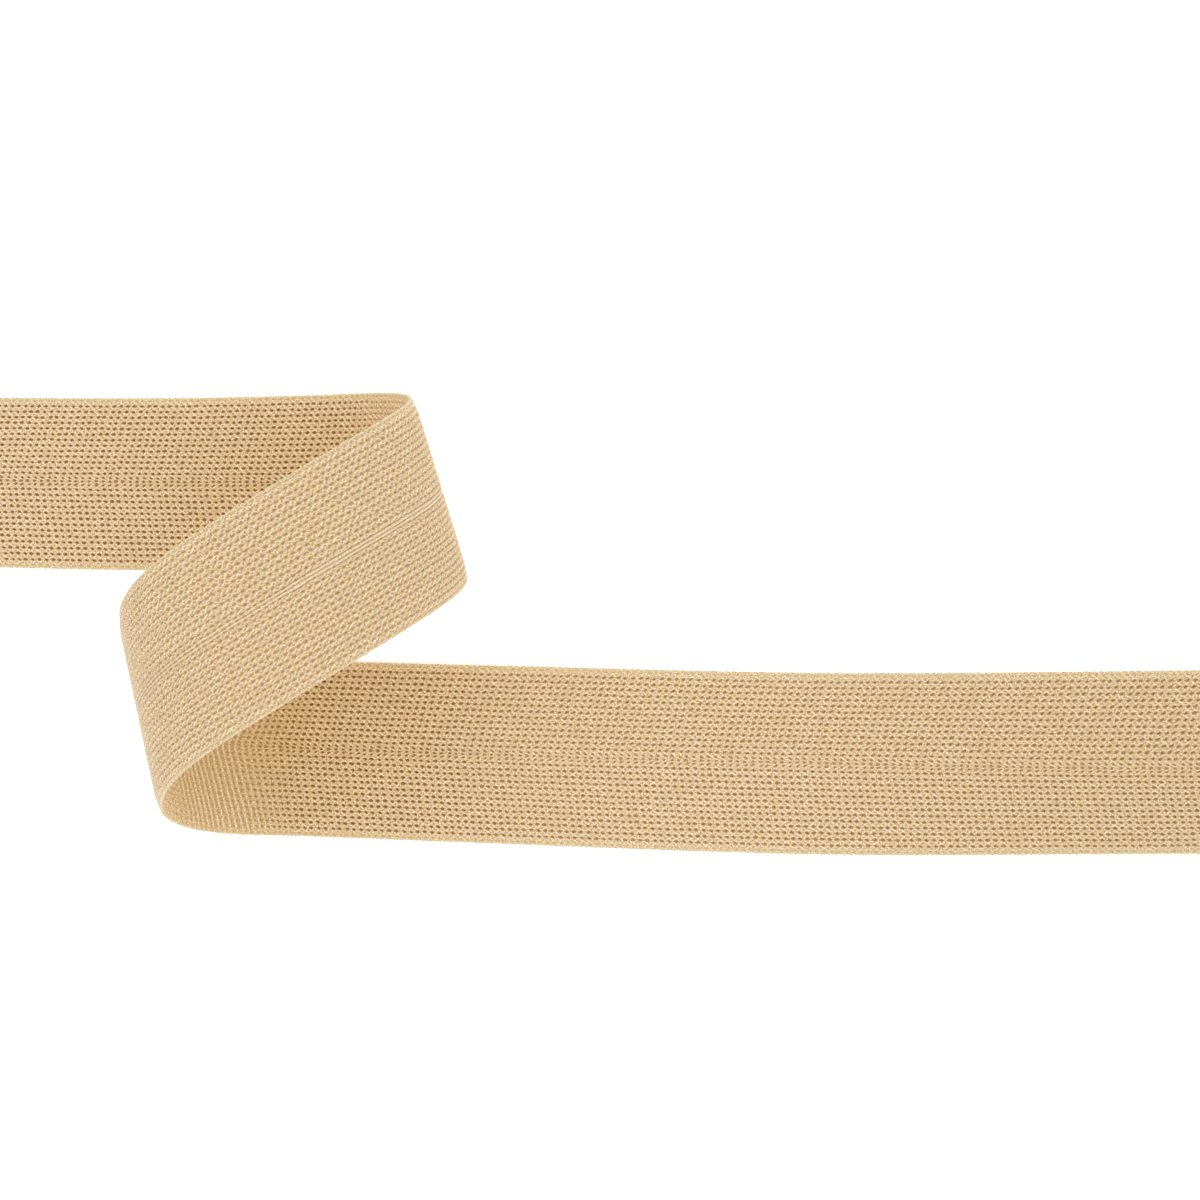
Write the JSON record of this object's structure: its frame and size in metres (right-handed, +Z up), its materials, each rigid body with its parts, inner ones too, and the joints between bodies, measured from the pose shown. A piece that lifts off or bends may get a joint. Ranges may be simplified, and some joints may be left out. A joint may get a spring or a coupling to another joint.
{
  "type": "cut length of foldover binding",
  "caption": "Cut length of knitted foldover binding with a centre crease, lying in two flat runs joined by one open curl.",
  "frame": {"origin": "middle of the footprint, at the height of the surface that it lies on", "axes": "+X along the two flat runs, +Y across them from the later run to the earlier one, +Z up out of the surface"},
  "size_m": [0.194, 0.0642, 0.0384],
  "materials": {
    "knit": "matt knitted yarn"
  },
  "bodies": {
    "root": {"binding": "knit"}
  },
  "joints": []
}
